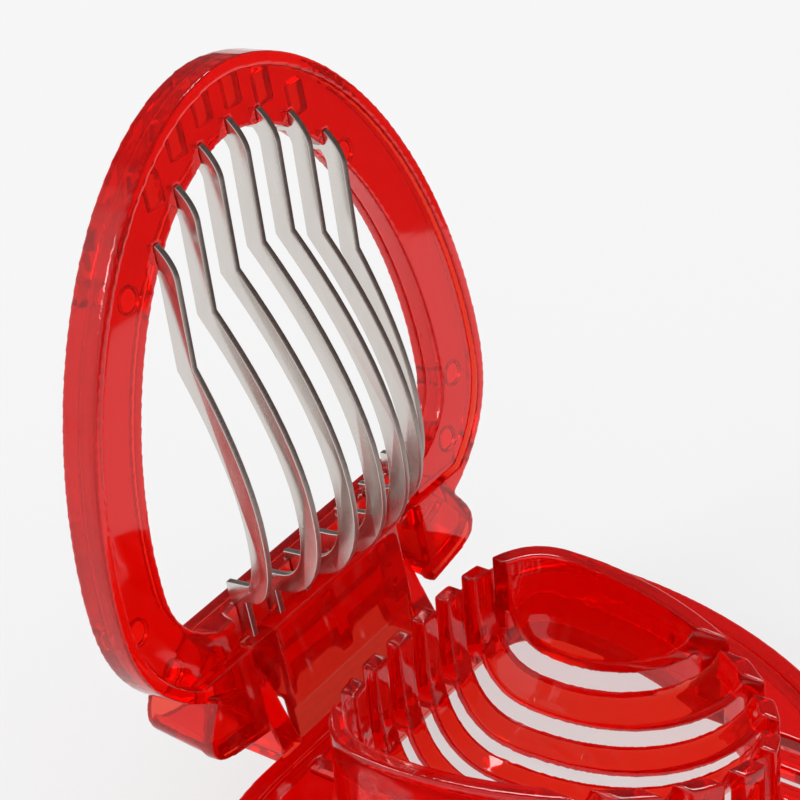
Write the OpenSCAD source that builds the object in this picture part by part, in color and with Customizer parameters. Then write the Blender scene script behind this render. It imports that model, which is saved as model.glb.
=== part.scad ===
// Fruit and egg slicer: a slotted cradle on an egg-shaped base, and a hinged lid ring that
// carries seven curved blades. Millimetres, +Z up, -Y towards the nose.
// The origin lies on the table, at mid-width, under the middle of the rear wall of the base.
// The lid is modelled closed, about the hinge axis, and turned open by lid_open.

/* [Outline] */
// Half of the greatest width of the lid and base
half_w = 36.7; // [34:0.1:42]
// Length from the widest place to the nose
nose_len = 52; // [48:0.5:60]
// Length from the widest place to the heel of the egg shape
heel_len = 23; // [21:0.5:25]
// Distance from the hinge axis to the widest place
widest = 24.2; // [23:0.1:27]

/* [Base] */
// Height of the deck above the table
deck_h = 12.1; // [11.8:0.1:16]
// Thickness of the deck
deck_t = 2; // [1.4:0.1:2.4]
// Thickness of the outer wall of the base
skirt_t = 2.6; // [1.8:0.1:3]
// Width of the ledge that carries the deck
ledge_w = 1.2; // [0.8:0.1:1.2]
// Half of the straight part of its rear edge
rear_flat = 20.4; // [18:0.1:22]
// Radius of the shoulders beside it
shoulder_r = 36; // [20:1:40]
// Radius of the rear corners of the base
corner_r = 8; // [2:0.5:10]

/* [Cradle] */
// Height of the rim above the deck
rim_rise = 11.8; // [9:0.1:12.4]
// Half of the width of the cradle, over the walls
cradle_half_w = 23.4; // [22:0.1:25]
// Length of the cradle in front of its widest place
cradle_nose = 38.6; // [34:0.1:40]
// Length of the cradle behind its widest place
cradle_heel = 12.3; // [11:0.1:14]
// Width of the rim
rim_w = 2.2; // [1.8:0.1:3]
// Thickness of the upright cradle wall
wall_t = 1.8; // [1.4:0.1:2.2]
// Depth of the bowl below the rim
bowl_depth = 20.3; // [16:0.1:20.8]
// Thickness of the bowl
bowl_t = 1.1; // [0.9:0.1:1.8]
// Width of a blade slot
slot_w = 2.2; // [1.6:0.1:2.6]

/* [Blades] */
// Distance between neighbouring blades
blade_pitch = 5.3; // [5:0.1:5.6]
// Thickness of a blade
blade_t = 0.9; // [0.6:0.1:1.2]
// Width of a blade strip
blade_w = 2.5; // [1.8:0.1:2.6]
// Depth of the middle blade's bulge below the face of the lid
blade_bulge = 10.6; // [8:0.1:10.8]

/* [Lid] */
// Width of the band of the lid ring
band_w = 8.5; // [7.5:0.1:9.5]
// Depth of the lid ring
ring_depth = 5; // [4.5:0.1:7]
// Width of the lip round the blade retainer
lip_w = 1.7; // [1.2:0.1:2.2]
// Thickness of the blade retainer
retainer_t = 2.8; // [2.4:0.1:3.2]
// Depth of the retainer's face below the lip
retainer_sink = 0.6; // [0.2:0.1:0.8]
// Thickness of the apron at the hinge
apron_t = 2; // [1.5:0.1:2.5]
// Depth of the two side lobes
lobe_depth = 9.8; // [6.5:0.1:10.5]
// Wall thickness of the side lobes
lobe_t = 1.6; // [1.2:0.1:2]

/* [Hinge] */
// Height of the hinge axis above the face of the closed lid
axis_rise = 6.4; // [6:0.1:7]
// Distance from the origin back to the hinge axis
axis_back = 8.5; // [8.3:0.1:9]
// Radius of the stub pins
pin_r = 1.6; // [1.2:0.1:2]
// Radius of the knuckle and of the arm ends
knuckle_r = 3.4; // [3:0.1:3.6]
// Half of the width of the knuckle
knuckle_half = 12.7; // [12:0.1:13.2]
// Thickness of a hinge arm
arm_t = 3.5; // [2.5:0.1:3.6]
// Angle from closed to fully open
lid_open = 98.4; // [90:0.1:98.4]

/* [Clearances] */
// Radial clearance of the pins in their bores
pin_gap = 0.05; // [0.02:0.01:0.1]
// Gap between the closed lid and the deck
lid_gap = 0.3; // [0.2:0.05:0.6]
// Gap beside the hinge arms
arm_gap = 0.4; // [0.3:0.05:0.6]
// Gap between pieces that fit together
seat_gap = 0.05; // [0.03:0.01:0.1]
// Gap where the lid swings past the cradle
swing_gap = 0.35; // [0.3:0.05:0.6]

/* [Hidden] */
plastic = "#d40010";
deck_red = "#e81410";
steel = "#b9bcbe";

blade_count = 7;
middle = (blade_count + 1) / 2;
outline_steps = 96;
bowl_steps = 72;
bowl_levels = 12;
nose_power = 1.9;          // exponents of the egg outline
heel_power = 2.45;
rim_nose_power = 1.75;     // exponents of the cradle's rim
rim_heel_power = 3.2;
bowl_round = 2.2;          // how full the bowl is near its bottom
bowl_front = 1.3;          // steepness of its front
bowl_side = 1.65;          // steepness of its sides
bowl_rear = 4;             // steepness of its rear wall
rim_h = deck_h + rim_rise;
axis_h = deck_h + lid_gap + axis_rise;
deck_under = deck_h - deck_t;
ledge_t = 2;
far = 200;                 // longer than the whole part

// Blades: the outer edge of each is drawn by its distance from the hinge axis and its
// depth below the face of the lid.
tip_grip = 2;              // how far a tip reaches over the band
tip_len = 4.2;             // rounded end of a blade
tip_w = 1.4;
kink_back = 15.6;          // from the tip to the kink
kink_w = 0.6;
peak_s = 25.7;             // deepest point of the bulge
side_drop = 5.7;           // how much shallower the outermost blades are
blade_heel = 12;           // end of the bulge at the hinge side
heel_shift = 2.1;
foot_s = 9.2;              // foot in the retainer's heel
foot_w = -0.3;
tab_w = -2.9;
edge_steps = 10;
climb_power = 1.75;        // shape of the bulge from the kink to its deepest point
curl_power = 2.4;          // and from there to its heel

// Opening of the ring, retainer and hinge
opening_r = 7;
heel_line = 12.4;          // straight part of the opening's heel, from the hinge axis
swing_r = norm([heel_line + 0.45, axis_rise]);
cradle_y = -cradle_heel + axis_back - swing_r - swing_gap;
retainer_heel = 8.6;
notch_s = 8.2;
lobe_inner = knuckle_half + arm_gap + arm_t + 2 * arm_gap;
lobe = concat([[lobe_inner, -6]],
    smoothed([[lobe_inner, 3.7], [23, 2.9], [26.9, 2.1], [28.2, -0.4], [27.1, -3.1], [24, -7], [20, -9.1]]));
lobe_slant = 13;           // slope of its sides towards the back
tongue_s = 8.8;            // stop tongue, measured past the axis
peg_r = 1.5;
pegs = [[half_w - 4.5, widest - 4.8], [half_w - 16.3, widest + 32], [half_w - 8.3, widest - 12.6]];
pocket = [2.8, 4.2];
pocket_depth = 1.4;
pocket_inset = 4.6;
bay_half = 18.6;           // open bay round the feet of the blades
bay_depth = 1.3;

// Open line of points with its corners cut twice
function smoothed(p) = cut_corners(cut_corners(p));
function cut_corners(p) = concat(
    [p[0]],
    [for (i = [1:len(p) - 2]) each [p[i] * 0.75 + p[i - 1] * 0.25, p[i] * 0.75 + p[i + 1] * 0.25]],
    [p[len(p) - 1]]);

function side(v) = v < 0 ? -1 : 1;
function x_of(i) = (i - middle) * blade_pitch;

// Closed curve of two superellipse halves that share their widest line
function egg(a, nose, heel, p_nose, p_heel, n) =
    [for (i = [0:n - 1])
        let (t = 360 * i / n, c = cos(t), s = sin(t), p = s < 0 ? p_nose : p_heel)
        [a * side(c) * pow(abs(c), 2 / p), (s < 0 ? nose : heel) * side(s) * pow(abs(s), 2 / p)]];

// Distance of the opening's nose edge from the hinge axis, at a place across the lid
function opening_s(x) =
    widest + (nose_len - band_w) * pow(1 - pow(abs(x) / (half_w - band_w), nose_power), 1 / nose_power);

// Egg outline about the hinge axis
module egg_2d() {
    translate([0, -widest]) polygon(egg(half_w, nose_len, heel_len, nose_power, heel_power, outline_steps));
}

// Outline of the base, with its rear cut straight and its corners rounded
module base_2d() {
    offset(r = corner_r, $fn = 96) offset(delta = -corner_r) intersection() {
        translate([0, axis_back]) egg_2d();
        offset(r = shoulder_r, $fn = 240) translate([-rear_flat, -far])
            square([2 * rear_flat, far + skirt_t / 2 - shoulder_r]);
    }
}

module cradle_2d() {
    translate([0, cradle_y])
        polygon(egg(cradle_half_w, cradle_nose, cradle_heel, rim_nose_power, rim_heel_power, bowl_steps));
}

// Solid whose side is the bowl's surface, grown outwards by a wall
module bowl_solid(grow) {
    a = cradle_half_w - rim_w + grow;
    nose = cradle_nose - rim_w + grow;
    heel = cradle_heel - rim_w + grow;
    depth = bowl_depth + grow;
    cover = 1;
    levels = [for (k = [0:bowl_levels - 1]) sin(90 * k / bowl_levels)];
    function share(d, m) = pow(1 - pow(d, m), 1 / bowl_round);
    rings = concat(
        [[for (q = egg(a, nose, heel, rim_nose_power, rim_heel_power, bowl_steps))
            [q[0], q[1], rim_h + cover]]],
        [for (d = levels)
            [for (q = egg(a * share(d, bowl_side), nose * share(d, bowl_front), heel * share(d, bowl_rear),
                          rim_nose_power, rim_heel_power, bowl_steps))
                [q[0], q[1], rim_h - depth * d]]]);
    n = bowl_steps;
    last = bowl_levels * n;
    foot = last + n;
    translate([0, cradle_y]) polyhedron(
        points = concat([for (r = rings) each r], [[0, 0, rim_h - depth]]),
        faces = concat(
            [[for (i = [n - 1:-1:0]) i]],
            [for (k = [0:bowl_levels - 1], i = [0:n - 1]) let (j = (i + 1) % n)
                [k * n + i, k * n + j, (k + 1) * n + j]],
            [for (k = [0:bowl_levels - 1], i = [0:n - 1]) let (j = (i + 1) % n)
                [k * n + i, (k + 1) * n + j, (k + 1) * n + i]],
            [for (i = [0:n - 1]) let (j = (i + 1) % n) [last + i, last + j, foot]]));
}

// Outer wall with a ledge for the deck and two arms that carry the hinge
module base_frame() {
    color(plastic) difference() {
        union() {
            linear_extrude(deck_h) difference() {
                base_2d();
                offset(delta = -skirt_t) base_2d();
            }
            translate([0, 0, deck_under - ledge_t]) linear_extrude(ledge_t) difference() {
                offset(delta = -skirt_t / 2) base_2d();
                offset(delta = -skirt_t - ledge_w) base_2d();
            }
            for (s = [-1, 1]) hinge_arm(s);
        }
        translate([0, axis_back, axis_h]) rotate([0, 90, 0])
            cylinder(r = pin_r + pin_gap, h = far, center = true, $fn = 48);
    }
}

module hinge_arm(s) {
    root = skirt_t / 2;
    x = knuckle_half + arm_gap;
    translate([s < 0 ? -x - arm_t : x, 0, 0]) {
        translate([0, -root, deck_under]) cube([arm_t, root + 3, deck_t]);
        hull() {
            translate([0, root - 0.3, deck_under]) cube([arm_t, axis_back - root, deck_t]);
            translate([0, axis_back, axis_h]) rotate([0, 90, 0]) cylinder(r = knuckle_r, h = arm_t, $fn = 32);
        }
    }
}

// Deck, upright wall and bowl, cut through by one slot for each blade
module slotted_cradle() {
    color(deck_red) difference() {
        union() {
            translate([0, 0, deck_under]) linear_extrude(deck_t) difference() {
                offset(delta = -skirt_t - seat_gap) base_2d();
                offset(delta = -wall_t / 2) cradle_2d();
            }
            translate([0, 0, deck_under]) linear_extrude(rim_h - deck_under) difference() {
                cradle_2d();
                offset(delta = -wall_t) cradle_2d();
            }
            intersection() {
                difference() {
                    bowl_solid(bowl_t);
                    bowl_solid(0);
                }
                linear_extrude(rim_h) translate([-far, -far]) square(2 * far);
            }
        }
        for (i = [1:blade_count]) blade_slot(i);
    }
}

module blade_slot(i) {
    front = axis_back - opening_s(x_of(i)) - tip_grip - 0.6;
    rear = axis_back - blade_heel + 0.5;
    translate([x_of(i) - slot_w / 2, front, -1]) cube([slot_w, rear - front, rim_h + 2]);
}

// Opening of the ring, with a straight heel and rounded corners
module opening_2d() {
    offset(r = opening_r) offset(delta = -opening_r) intersection() {
        offset(delta = -band_w) egg_2d();
        translate([-far, -far - heel_line]) square([2 * far, far]);
    }
}

// The opening as a cutter, whose heel clears the cradle when the lid swings
module opening() {
    difference() {
        translate([0, 0, -far / 2]) linear_extrude(far) opening_2d();
        rotate([0, 90, 0]) cylinder(r = swing_r, h = far, center = true, $fn = 96);
    }
}

// Puts what is drawn closed, about the hinge axis, at the open lid
module on_lid() {
    translate([0, axis_back, axis_h]) rotate([-lid_open, 0, 0]) children();
}

module apron_2d() {
    for (s = [-1, 1]) scale([s, 1]) polygon(lobe);
    translate([-knuckle_half, -notch_s]) square([2 * knuckle_half, notch_s + 3.7]);
}

// Outer shell of the lid: channel-shaped ring, apron, side lobes, knuckle and stub pins
module lid_frame() {
    face = -axis_rise;
    color(plastic) on_lid() {
        difference() {
            union() {
                translate([0, 0, face]) linear_extrude(ring_depth) egg_2d();
                translate([0, 0, face]) linear_extrude(apron_t) apron_2d();
                for (s = [-1, 1]) scale([s, 1, 1]) side_lobe();
            }
            opening();
            translate([0, 0, face - 1]) linear_extrude(retainer_t + retainer_sink + 1) intersection() {
                offset(delta = -lip_w) egg_2d();
                translate([-far, -far - retainer_heel + 0.2]) square([2 * far, far]);
            }
            for (s = [-1, 1]) arm_notch(s);
            for (s = [-1, 1], p = pegs) translate([s * p[0], -p[1], face])
                cylinder(r = peg_r + seat_gap, h = far, $fn = 32);
        }
        knuckle();
        stop_tongue();
    }
}

module arm_notch(s) {
    x = knuckle_half;
    w = lobe_inner - x + 0.1;
    translate([s < 0 ? -x - w : x, -notch_s, -far / 2]) cube([w, far, far]);
}

// Box of one lobe, open at the back and slanting
module side_lobe() {
    translate([0, 0, -axis_rise]) difference() {
        lobe_block(0, 0, lobe_depth);
        lobe_block(lobe_t, -1, lobe_depth + 1);
    }
}

module lobe_block(inset, from, to) {
    slice = 0.01;
    hull() {
        for (z = [from, to - slice]) translate([0, -z * tan(lobe_slant), z])
            linear_extrude(slice) offset(delta = -inset) polygon(lobe);
    }
}

module knuckle() {
    web_t = 2;
    rotate([0, 90, 0]) cylinder(r = knuckle_r, h = 2 * knuckle_half, center = true, $fn = 48);
    rotate([0, 90, 0]) cylinder(r = pin_r, h = 2 * (knuckle_half + arm_gap + arm_t), center = true, $fn = 48);
    for (x = [-1, 0, 1]) translate([x * (knuckle_half - web_t / 2) - web_t / 2, -5, -axis_rise])
        cube([web_t, 5 + 2.6, axis_rise]);
}

// Tongue that meets the rear wall of the base when the lid is fully open
module stop_tongue() {
    lift = 0.6;
    translate([-knuckle_half, 0, -axis_rise + lift]) cube([2 * knuckle_half, tongue_s, apron_t - lift]);
}

// Ring that holds the blades in the lid, with pegs through the frame
module blade_retainer() {
    face = -axis_rise + retainer_sink;
    color(plastic) on_lid() difference() {
        union() {
            translate([0, 0, face]) linear_extrude(retainer_t) intersection() {
                offset(delta = -lip_w - seat_gap) egg_2d();
                translate([-far, -far - retainer_heel]) square([2 * far, far]);
            }
            for (s = [-1, 1], p = pegs) translate([s * p[0], -p[1], face])
                cylinder(r = peg_r, h = ring_depth - retainer_sink, $fn = 32);
        }
        opening();
        for (i = [1:blade_count]) translate([x_of(i), 0, 0]) blade_body(i, seat_gap);
        for (k = [0:2], s = [-1, 1]) pocket_cut(s * (k + 0.5) * blade_pitch);
        translate([-bay_half, -heel_line - 3, face - 1]) cube([2 * bay_half, heel_line, bay_depth + 1]);
    }
}

// Hollow in the back of the retainer, between two blade tips
module pocket_cut(x) {
    back = -axis_rise + retainer_sink + retainer_t;
    translate([x, -opening_s(x) - pocket_inset, back])
        cube([pocket[0], pocket[1], 2 * pocket_depth], center = true);
}

// Outer edge of a blade, from its tip to its heel
function blade_edge(i) =
    let (x = abs(x_of(i)) / abs(x_of(1)),
         tip = opening_s(x_of(i)) + tip_grip,
         kink = tip - kink_back,
         rise = blade_bulge - kink_w - side_drop * pow(x, 2.5),
         heel = blade_heel + heel_shift * pow(x, 3))
    concat(
        [for (k = [0:edge_steps]) let (q = k / edge_steps)
            [tip - tip_len * q, -0.5 + (tip_w + 0.5) * (1 - pow(1 - q, 2))]],
        [for (k = [0:edge_steps]) let (q = 1 - k / edge_steps)
            [peak_s + (kink - peak_s) * q, kink_w + rise * (1 - pow(q, climb_power))]],
        [for (k = [1:edge_steps]) let (a = 90 * k / edge_steps)
            [peak_s - (peak_s - heel) * pow(sin(a), 2 / curl_power),
             kink_w + rise * pow(max(cos(a), 0), 2 / curl_power)]],
        [[heel, foot_w], [foot_s, foot_w]]);

module blade_2d(i) {
    edge = blade_edge(i);
    deep = 30;
    intersection() {
        difference() {
            polygon(concat(edge, [[foot_s, -deep], [edge[0][0], -deep]]));
            offset(delta = -blade_w) polygon(concat(edge, [[foot_s, -deep], [edge[0][0], -deep]]));
        }
        translate([0, tab_w]) square([far, far]);
    }
}

// One blade, or the pocket it sits in when gap is more than 0
module blade_body(i, gap) {
    t = blade_t + 2 * gap;
    translate([-t / 2, 0, -axis_rise]) rotate([90, 0, 0]) rotate([0, -90, 0]) mirror([0, 0, 1])
        linear_extrude(t) mirror([0, 1]) offset(delta = gap) blade_2d(i);
}

module blade(i) {
    color(steel) on_lid() translate([x_of(i), 0, 0]) blade_body(i, 0);
}

base_frame();
slotted_cradle();
lid_frame();
blade_retainer();
blade(1);  // blade_1
blade(2);  // blade_2
blade(3);  // blade_3
blade(4);  // blade_4
blade(5);  // blade_5
blade(6);  // blade_6
blade(7);  // blade_7
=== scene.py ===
"""Finish of a hinged fruit and egg slicer, laid out as a Blender add-on and run as a script."""

import math

import bpy
from bpy.props import FloatProperty, PointerProperty, StringProperty
from mathutils import Matrix, Vector

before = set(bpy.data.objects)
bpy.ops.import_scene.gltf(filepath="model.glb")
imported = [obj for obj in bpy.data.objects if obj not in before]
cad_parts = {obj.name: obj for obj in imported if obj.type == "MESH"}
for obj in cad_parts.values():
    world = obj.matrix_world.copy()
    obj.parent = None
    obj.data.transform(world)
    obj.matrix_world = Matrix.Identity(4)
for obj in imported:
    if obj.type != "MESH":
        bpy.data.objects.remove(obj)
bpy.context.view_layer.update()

bl_info = {
    "name": "Fruit Slicer Finish",
    "version": (1, 0, 0),
    "blender": (4, 5, 0),
    "location": "3D View > Sidebar > Slicer",
    "description": "Rounds and finishes the plastic and steel pieces of a hinged fruit slicer",
    "category": "Object",
}

MM = 0.001
BLADES = [f"blade_{i}" for i in range(1, 8)]
APRON = (20.5, 31.0)    # half width of the lid's apron between its lobes, and its height when open
CLEAR_CLOUD = 0.12      # share of light that scatters in the polished plastic
PAINTED_SHADE_CLOUD = 0.42    # the same in the apron's panel, raised there as painted shade: a deeper red that stands in for the plastic lying behind the apron
DYE_DENSITY = 1100.0    # absorption per metre at strength 1
WELD = 0.002 * MM       # points nearer than this are one
FLAT_ANGLE = 0.4        # degrees within which neighbouring faces are one flat
SHARP_ANGLE = 35        # degrees past which an edge is sharp
RELAX_RATE = 2.5        # relaxing steps for a radius of one grid spacing
KEPT_FACES = 0.28       # share of faces kept after relaxing
STAMPED_STEPS = 2       # faces across a rounded edge of a blade


# ---------------------------------------------------------------- sizes and colours

class SlicerSizes(bpy.types.PropertyGroup):
    """Rounding of the moulded and stamped edges."""
    moulded_round: FloatProperty(
        name="Moulded rounding", description="Radius of the plastic's outer edges",
        default=0.45 * MM, min=0.05 * MM, max=1.5 * MM, unit="LENGTH", subtype="DISTANCE")
    stamped_round: FloatProperty(
        name="Stamped rounding", description="Radius of the steel blades' edges",
        default=0.12 * MM, min=0.02 * MM, max=0.4 * MM, unit="LENGTH", subtype="DISTANCE")
    grid: FloatProperty(
        name="Grid", description="Spacing of the even grid that the plastic pieces are drawn in",
        default=0.2 * MM, min=0.1 * MM, max=1.0 * MM, unit="LENGTH", subtype="DISTANCE")


class SlicerColours(bpy.types.PropertyGroup):
    """Colours as sRGB hex."""
    plastic: StringProperty(
        name="Plastic", description="Tint of one thin wall of the red plastic", default="#FFB09C")
    dye: StringProperty(
        name="Dye", description="What a thick wall lets through", default="#FE7A38")
    cloud: StringProperty(
        name="Cloud", description="The plastic's own red where light scatters in it",
        default="#F80E08")
    steel: StringProperty(
        name="Steel", description="Colour of the blades' faces", default="#E4DED9")
    cut_dark: StringProperty(
        name="Cut edge, dark", description="Darkest streak of the sheared edge", default="#8E827C")
    cut_light: StringProperty(
        name="Cut edge, light", description="Lightest streak of the sheared edge",
        default="#BEB3AD")


def sizes():
    return bpy.context.scene.slicer_sizes


def colours():
    return bpy.context.scene.slicer_colours


# ---------------------------------------------------------------- materials

def linear(code):
    """The linear colour of an sRGB hex value."""
    parts = [int(code[i:i + 2], 16) / 255 for i in (1, 3, 5)]
    return [c / 12.92 if c <= 0.04045 else ((c + 0.055) / 1.055) ** 2.4 for c in parts] + [1.0]


def add(tree, kind, links=None, **settings):
    """Adds a node, sets its properties or inputs, and links its inputs from other outputs."""
    node = tree.nodes.new(kind)
    for key, value in settings.items():
        if hasattr(node, key):
            setattr(node, key, value)
        else:
            node.inputs[key.replace("_", " ")].default_value = value
    for key, source in (links or {}).items():
        tree.links.new(source, node.inputs[key])
    return node


def new_material(name):
    material = bpy.data.materials.new(name)
    material.use_nodes = True
    tree = material.node_tree
    tree.nodes.clear()
    return material, tree


def moulded_styrene(name, strength=1.0, cloud=CLEAR_CLOUD, painted_shade_panel=None):
    """Clear red polystyrene, injection moulded in a polished mould: glassy, with faint flow ripples
    in its gloss, orange-pink through one thin wall, deep red through several, and slightly hazy.
    cloud is the share of light that scatters in it. painted_shade_panel gives the half width and
    the top, in millimetres, of a panel of the apron painted a darker, randomly mottled and hazier
    red: painted shade that stands in for the deep red of the plastic lying behind the apron."""
    material, tree = new_material(name)
    where = add(tree, "ShaderNodeTexCoord")
    flow = add(tree, "ShaderNodeTexNoise", {"Vector": where.outputs["Object"]},
               Scale=1 / (9 * MM), Detail=2.0, Roughness=0.45)
    haze = add(tree, "ShaderNodeTexNoise", {"Vector": where.outputs["Object"]},
               Scale=1 / (2.5 * MM), Detail=3.0)
    gloss = add(tree, "ShaderNodeMapRange", {"Value": haze.outputs["Fac"]},
                To_Min=0.02, To_Max=0.07)
    tint = add(tree, "ShaderNodeMix", {"Factor": flow.outputs["Fac"]}, data_type="RGBA")
    base = linear(colours().plastic)
    tint.inputs[6].default_value = [base[0], base[1] * 0.88, base[2] * 0.88, 1.0]
    tint.inputs[7].default_value = base
    ripples = add(tree, "ShaderNodeBump", {"Height": flow.outputs["Fac"]},
                  Strength=0.25, Distance=0.05 * MM)
    clear = add(tree, "ShaderNodeBsdfPrincipled",
                {"Base Color": tint.outputs[2], "Roughness": gloss.outputs["Result"],
                 "Normal": ripples.outputs["Normal"]})
    clear.inputs["IOR"].default_value = 1.5
    clear.inputs["Transmission Weight"].default_value = 1.0
    cloudy = add(tree, "ShaderNodeBsdfPrincipled",
                 {"Roughness": gloss.outputs["Result"], "Normal": ripples.outputs["Normal"]})
    red = linear(colours().cloud)
    cloudy.inputs["Base Color"].default_value = red
    both = add(tree, "ShaderNodeMixShader", {1: clear.outputs["BSDF"], 2: cloudy.outputs["BSDF"]})
    both.inputs["Fac"].default_value = cloud
    # painted shade: inside the apron's panel the cloud is darker, mottled and larger, a deeper red
    # that stands in for the plastic lying behind the apron
    if painted_shade_panel:
        half, top = painted_shade_panel
        mottle_and_shade = add(tree, "ShaderNodeMix", {"Factor": haze.outputs["Fac"]}, data_type="RGBA")
        mottle_and_shade.inputs[6].default_value = [c * 0.6 for c in red[:3]] + [1.0]
        mottle_and_shade.inputs[7].default_value = red
        tree.links.new(mottle_and_shade.outputs[2], cloudy.inputs["Base Color"])
        place = add(tree, "ShaderNodeSeparateXYZ", {"Vector": where.outputs["Object"]})
        side = add(tree, "ShaderNodeMath", {0: place.outputs["X"]}, operation="ABSOLUTE")
        within = add(tree, "ShaderNodeMapRange", {"Value": side.outputs[0]},
                     From_Min=(half - 0.5) * MM, From_Max=half * MM, To_Min=1.0, To_Max=0.0)
        below = add(tree, "ShaderNodeMapRange", {"Value": place.outputs["Z"]},
                    From_Min=(top - 2) * MM, From_Max=top * MM, To_Min=1.0, To_Max=0.0)
        panel = add(tree, "ShaderNodeMath",
                    {0: within.outputs["Result"], 1: below.outputs["Result"]},
                    operation="MULTIPLY")
        share = add(tree, "ShaderNodeMapRange", {"Value": panel.outputs[0]},
                    To_Min=cloud, To_Max=PAINTED_SHADE_CLOUD)
        tree.links.new(share.outputs["Result"], both.inputs["Fac"])
    dye = add(tree, "ShaderNodeVolumeAbsorption")
    dye.inputs["Color"].default_value = linear(colours().dye)
    dye.inputs["Density"].default_value = DYE_DENSITY * strength
    add(tree, "ShaderNodeOutputMaterial",
        {"Surface": both.outputs["Shader"], "Volume": dye.outputs["Volume"]})
    return material


def stamped_steel(name):
    """Stainless strip, rolled and stamped: a satin grey mirror, finely grained along its length."""
    material, tree = new_material(name)
    where = add(tree, "ShaderNodeTexCoord")
    along = add(tree, "ShaderNodeMapping", {"Vector": where.outputs["Object"]})
    along.inputs["Scale"].default_value = (1 / (0.12 * MM), 1 / (1.5 * MM), 1 / (6 * MM))
    grain = add(tree, "ShaderNodeTexNoise", {"Vector": along.outputs["Vector"]},
                Scale=1.0, Detail=3.0, Roughness=0.6)
    gloss = add(tree, "ShaderNodeMapRange", {"Value": grain.outputs["Fac"]},
                To_Min=0.16, To_Max=0.34)
    tint = add(tree, "ShaderNodeMix", {"Factor": grain.outputs["Fac"]}, data_type="RGBA")
    base = linear(colours().steel)
    tint.inputs[6].default_value = [c * 0.82 for c in base[:3]] + [1.0]
    tint.inputs[7].default_value = base
    scratches = add(tree, "ShaderNodeBump", {"Height": grain.outputs["Fac"]},
                    Strength=0.2, Distance=0.02 * MM)
    shader = add(tree, "ShaderNodeBsdfPrincipled",
                 {"Base Color": tint.outputs[2], "Roughness": gloss.outputs["Result"],
                  "Normal": scratches.outputs["Normal"]})
    shader.inputs["Metallic"].default_value = 1.0
    add(tree, "ShaderNodeOutputMaterial", {"Surface": shader.outputs["BSDF"]})
    return material


def sheared_steel(name):
    """The cut rim of the strip: matt, darker and streaked across by the shearing."""
    material, tree = new_material(name)
    where = add(tree, "ShaderNodeTexCoord")
    across = add(tree, "ShaderNodeMapping", {"Vector": where.outputs["Object"]})
    across.inputs["Scale"].default_value = (1 / (1.2 * MM), 1 / (0.25 * MM), 1 / (0.25 * MM))
    streaks = add(tree, "ShaderNodeTexNoise", {"Vector": across.outputs["Vector"]},
                  Scale=1.0, Detail=3.0, Roughness=0.6)
    gloss = add(tree, "ShaderNodeMapRange", {"Value": streaks.outputs["Fac"]},
                To_Min=0.28, To_Max=0.5)
    tint = add(tree, "ShaderNodeMix", {"Factor": streaks.outputs["Fac"]}, data_type="RGBA")
    tint.inputs[6].default_value = linear(colours().cut_dark)
    tint.inputs[7].default_value = linear(colours().cut_light)
    shader = add(tree, "ShaderNodeBsdfPrincipled",
                 {"Base Color": tint.outputs[2], "Roughness": gloss.outputs["Result"]})
    shader.inputs["Metallic"].default_value = 1.0
    add(tree, "ShaderNodeOutputMaterial", {"Surface": shader.outputs["BSDF"]})
    return material


def finish_moulding(name, material, radius):
    """Gives a moulded CAD node its material and softens every edge of it with modifiers, as a
    polished mould does: the shape is drawn again in a fine even grid and its edges are relaxed."""
    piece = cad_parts[name]
    piece.data.materials.clear()
    piece.data.materials.append(material)
    weld = piece.modifiers.new("weld", "WELD")
    weld.merge_threshold = WELD
    grid = piece.modifiers.new("even grid", "REMESH")
    grid.mode = "VOXEL"
    grid.voxel_size = sizes().grid
    grid.use_smooth_shade = True
    relax = piece.modifiers.new("relaxed edges", "SMOOTH")
    relax.factor = 0.5
    relax.iterations = max(1, round(RELAX_RATE * (radius / sizes().grid) ** 2))
    thin = piece.modifiers.new("fewer faces on flats", "DECIMATE")
    thin.ratio = KEPT_FACES
    return piece


def finish_stamping(name, material, radius):
    """Gives a stamped CAD node its material and rounds its sharp edges with modifiers."""
    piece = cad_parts[name]
    piece.data.materials.clear()
    piece.data.materials.append(material)
    piece.data.shade_smooth()
    weld = piece.modifiers.new("weld", "WELD")
    weld.merge_threshold = WELD
    flat = piece.modifiers.new("join coplanar", "DECIMATE")
    flat.decimate_type = "DISSOLVE"
    flat.angle_limit = math.radians(FLAT_ANGLE)
    rounding = piece.modifiers.new("rounding", "BEVEL")
    rounding.width = radius
    rounding.segments = STAMPED_STEPS
    rounding.limit_method = "ANGLE"
    rounding.angle_limit = math.radians(SHARP_ANGLE)
    rounding.use_clamp_overlap = False
    rounding.harden_normals = True
    return piece


# ---------------------------------------------------------------- operators

class SLICER_OT_base(bpy.types.Operator):
    """Rounds and finishes the outer wall of the base with its hinge arms"""
    bl_idname = "slicer.base"
    bl_label = "Base"

    def execute(self, context):
        finish_moulding("base_frame", moulded_styrene("Clear red polystyrene moulded base"),
                        sizes().moulded_round)
        return {"FINISHED"}


class SLICER_OT_cradle(bpy.types.Operator):
    """Rounds and finishes the slotted cradle and its deck"""
    bl_idname = "slicer.cradle"
    bl_label = "Cradle"

    def execute(self, context):
        finish_moulding("slotted_cradle",
                        moulded_styrene("Clear red polystyrene moulded cradle", 2.2),
                        sizes().moulded_round)
        return {"FINISHED"}


class SLICER_OT_lid(bpy.types.Operator):
    """Rounds and finishes the lid's frame and the retainer in it"""
    bl_idname = "slicer.lid"
    bl_label = "Lid"

    def execute(self, context):
        # the lid's apron gets painted shade, a deeper red that stands in for the plastic lying
        # behind it
        finish_moulding("lid_frame",
                        moulded_styrene("Clear red polystyrene moulded lid with painted shade", painted_shade_panel=APRON),
                        sizes().moulded_round * 1.2)
        finish_moulding("blade_retainer", moulded_styrene("Clear red polystyrene moulded retainer"),
                        sizes().moulded_round * 0.7)
        return {"FINISHED"}


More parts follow.
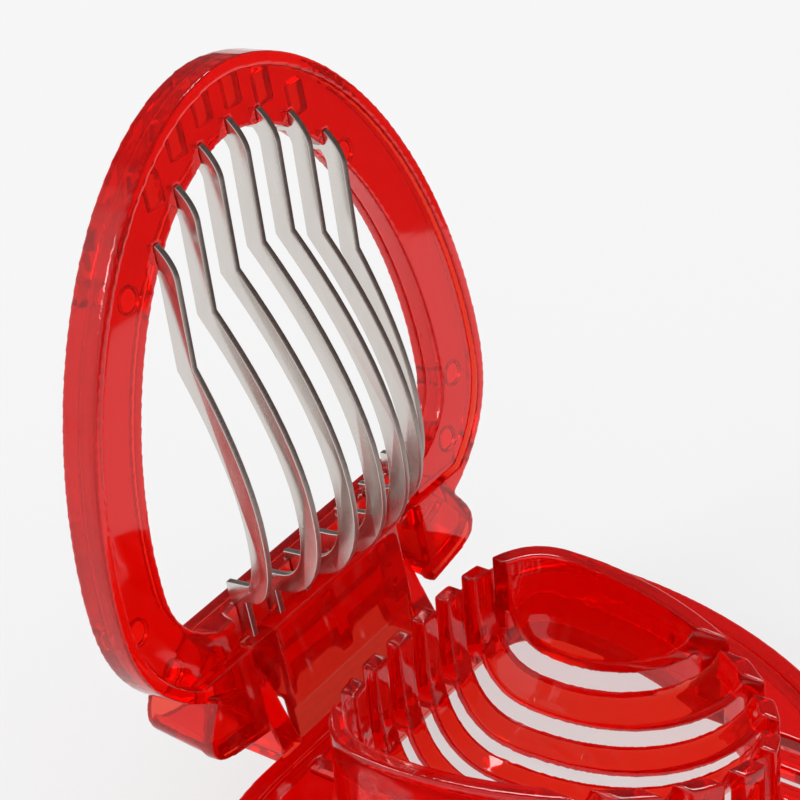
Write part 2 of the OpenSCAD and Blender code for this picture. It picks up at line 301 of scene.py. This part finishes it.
class SLICER_OT_blades(bpy.types.Operator):
    """Rounds and finishes the seven curved blades"""
    bl_idname = "slicer.blades"
    bl_label = "Blades"

    def execute(self, context):
        steel = stamped_steel("Stainless steel stamped strip")
        sheared = sheared_steel("Stainless steel sheared edge")
        for name in BLADES:
            blade = finish_stamping(name, steel, sizes().stamped_round)
            blade.data.materials.append(sheared)
            for face in blade.data.polygons:
                face.material_index = 1 if abs(face.normal.x) < 0.5 else 0
        return {"FINISHED"}


class SLICER_OT_stage(bpy.types.Operator):
    """Makes the floor, world, lamps and camera"""
    bl_idname = "slicer.stage"
    bl_label = "Stage"

    def execute(self, context):
        make_floor()
        make_world()
        make_flag()
        make_lamps()
        make_camera()
        return {"FINISHED"}


# ---------------------------------------------------------------- stage

CAMERA_AT = (-206.60, -166.01, 219.88)
AZIMUTH, ELEVATION, ROLL = -52.66, 32.07, -4.60
LENS = 119.1
BACKDROP = "#F7F7F7"
FLOOR = "#D6D6D6"
FLOOR_GLOW = 0.6        # share of the floor's colour that glows for the rays that see it directly
FLOOR_HALF = 3.0        # metres
FELT = "#6A5C5A"
FLAG_AZIMUTH, FLAG_DISTANCE, FLAG_WIDTH, FLAG_HEIGHT = 52, 0.2, 0.36, 0.24
DIM_SIDE, DIM_LEVEL = (95, 40), 0.14   # where mirror rays meet a dimmer world, and how dim


def toward(azimuth, elevation):
    """Direction from the object to a viewer at that azimuth and elevation."""
    a, e = math.radians(azimuth), math.radians(elevation)
    return Vector((math.sin(a) * math.cos(e), -math.cos(a) * math.cos(e), math.sin(e)))


def seen_directly(tree):
    """1 for the rays that should meet the plain backdrop: camera, mirror and clear rays."""
    path = add(tree, "ShaderNodeLightPath")
    first = add(tree, "ShaderNodeMath",
                {0: path.outputs["Is Camera Ray"], 1: path.outputs["Is Glossy Ray"]},
                operation="MAXIMUM")
    return add(tree, "ShaderNodeMath",
               {0: first.outputs[0], 1: path.outputs["Is Transmission Ray"]},
               operation="MAXIMUM")


def make_floor():
    """A plain pale floor. Part of its colour glows for the rays that see it directly, and the rest
    is lit, so that it keeps the object's shadow."""
    material, tree = new_material("Painted board matt floor")
    plain = add(tree, "ShaderNodeBsdfDiffuse")
    plain.inputs["Color"].default_value = linear(FLOOR)
    glow = add(tree, "ShaderNodeEmission")
    glow.inputs["Color"].default_value = linear(BACKDROP)
    glow.inputs["Strength"].default_value = 1.0
    share = add(tree, "ShaderNodeMath", {0: seen_directly(tree).outputs[0]}, operation="MULTIPLY")
    share.inputs[1].default_value = FLOOR_GLOW
    both = add(tree, "ShaderNodeMixShader",
               {0: share.outputs[0], 1: plain.outputs[0], 2: glow.outputs[0]})
    add(tree, "ShaderNodeOutputMaterial", {"Surface": both.outputs[0]})
    mesh = bpy.data.meshes.new("floor")
    r = FLOOR_HALF
    mesh.from_pydata([(-r, -r, 0), (r, -r, 0), (r, r, 0), (-r, r, 0)], [], [(0, 1, 2, 3)])
    mesh.materials.append(material)
    floor = bpy.data.objects.new("floor", mesh)
    bpy.context.scene.collection.objects.link(floor)


def make_world():
    """An even pale world, dimmer on one side for the rays that only polished surfaces send."""
    world = bpy.data.worlds.new("Studio")
    world.use_nodes = True
    tree = world.node_tree
    tree.nodes.clear()
    where = add(tree, "ShaderNodeTexCoord")
    side = add(tree, "ShaderNodeVectorMath", {0: where.outputs["Generated"]},
               operation="DOT_PRODUCT")
    side.inputs[1].default_value = toward(*DIM_SIDE)
    dim = add(tree, "ShaderNodeMapRange", {"Value": side.outputs["Value"]},
              From_Min=0.0, From_Max=0.4, To_Min=1.0, To_Max=DIM_LEVEL)
    dim.interpolation_type = "SMOOTHSTEP"
    path = add(tree, "ShaderNodeLightPath")
    level = dim
    for kind in ("Is Camera Ray", "Is Transmission Ray", "Is Diffuse Ray"):
        level = add(tree, "ShaderNodeMath", {0: level.outputs[0], 1: path.outputs[kind]},
                    operation="MAXIMUM")
    light = add(tree, "ShaderNodeBackground", {"Strength": level.outputs[0]})
    light.inputs["Color"].default_value = linear(BACKDROP)
    add(tree, "ShaderNodeOutputWorld", {"Surface": light.outputs[0]})
    bpy.context.scene.world = world


def make_flag():
    """A dark card beside the object, outside the picture, that only polished surfaces mirror."""
    material, tree = new_material("Black felt studio flag")
    felt = add(tree, "ShaderNodeBsdfDiffuse")
    felt.inputs["Color"].default_value = linear(FELT)
    add(tree, "ShaderNodeOutputMaterial", {"Surface": felt.outputs["BSDF"]})
    mesh = bpy.data.meshes.new("flag")
    width, height = FLAG_WIDTH, FLAG_HEIGHT
    mesh.from_pydata([(-width / 2, 0, 0.002), (width / 2, 0, 0.002), (width / 2, 0, height),
                      (-width / 2, 0, height)], [], [(0, 1, 2, 3)])
    mesh.materials.append(material)
    flag = bpy.data.objects.new("flag", mesh)
    bpy.context.scene.collection.objects.link(flag)
    flag.location = toward(FLAG_AZIMUTH, 0) * FLAG_DISTANCE
    flag.rotation_euler = (0, 0, math.radians(FLAG_AZIMUTH))
    for kind in ("camera", "diffuse", "transmission", "shadow", "volume_scatter"):
        setattr(flag, "visible_" + kind, False)


def softbox(name, azimuth, elevation, distance, width, height, power):
    data = bpy.data.lights.new(name, "AREA")
    data.shape = "RECTANGLE"
    data.size, data.size_y, data.energy = width, height, power
    lamp = bpy.data.objects.new(name, data)
    bpy.context.scene.collection.objects.link(lamp)
    back = toward(azimuth, elevation)
    lamp.location = Vector((0, -0.01, 0.03)) + back * distance
    lamp.rotation_mode = "QUATERNION"
    lamp.rotation_quaternion = back.to_track_quat("Z", "Y")
    return lamp


def make_lamps():
    softbox("top softbox", 120, 62, 0.9, 0.3, 0.25, 2.5)
    softbox("left softbox", -125, 35, 0.9, 0.3, 0.2, 2.0)


def make_camera():
    back = toward(AZIMUTH, ELEVATION)
    a, r = math.radians(AZIMUTH), math.radians(ROLL)
    right = Vector((math.cos(a), math.sin(a), 0))
    up = back.cross(right)
    right, up = right * math.cos(r) + up * math.sin(r), up * math.cos(r) - right * math.sin(r)
    data = bpy.data.cameras.new("camera")
    data.lens, data.sensor_width = LENS, 36
    data.clip_start, data.clip_end = 0.01, 20
    camera = bpy.data.objects.new("camera", data)
    bpy.context.scene.collection.objects.link(camera)
    turn = Matrix((right, up, back)).transposed().to_4x4()
    camera.matrix_world = Matrix.Translation(Vector(CAMERA_AT) * MM) @ turn
    bpy.context.scene.camera = camera
    bpy.context.scene.view_settings.view_transform = "Standard"


# ---------------------------------------------------------------- panel and registration

class SLICER_PT_pieces(bpy.types.Panel):
    bl_label = "Fruit slicer"
    bl_idname = "SLICER_PT_pieces"
    bl_space_type = "VIEW_3D"
    bl_region_type = "UI"
    bl_category = "Slicer"

    def draw(self, context):
        for group in (context.scene.slicer_sizes, context.scene.slicer_colours):
            for key in group.__annotations__:
                self.layout.prop(group, key)
        for operator in OPERATORS:
            self.layout.operator(operator.bl_idname)


OPERATORS = (SLICER_OT_base, SLICER_OT_cradle, SLICER_OT_lid, SLICER_OT_blades, SLICER_OT_stage)
CLASSES = (SlicerSizes, SlicerColours, *OPERATORS, SLICER_PT_pieces)


def register():
    for item in CLASSES:
        bpy.utils.register_class(item)
    bpy.types.Scene.slicer_sizes = PointerProperty(type=SlicerSizes)
    bpy.types.Scene.slicer_colours = PointerProperty(type=SlicerColours)


def unregister():
    del bpy.types.Scene.slicer_sizes
    del bpy.types.Scene.slicer_colours
    for item in reversed(CLASSES):
        bpy.utils.unregister_class(item)


def main():
    register()
    bpy.ops.slicer.base()
    bpy.ops.slicer.cradle()
    bpy.ops.slicer.lid()
    bpy.ops.slicer.blades()
    bpy.ops.slicer.stage()
    paths = bpy.context.scene.cycles     # light crosses many clear walls here
    paths.max_bounces = paths.transmission_bounces = 20
    paths.glossy_bounces = 12
    bpy.context.view_layer.update()


if __name__ == "__main__":
    main()
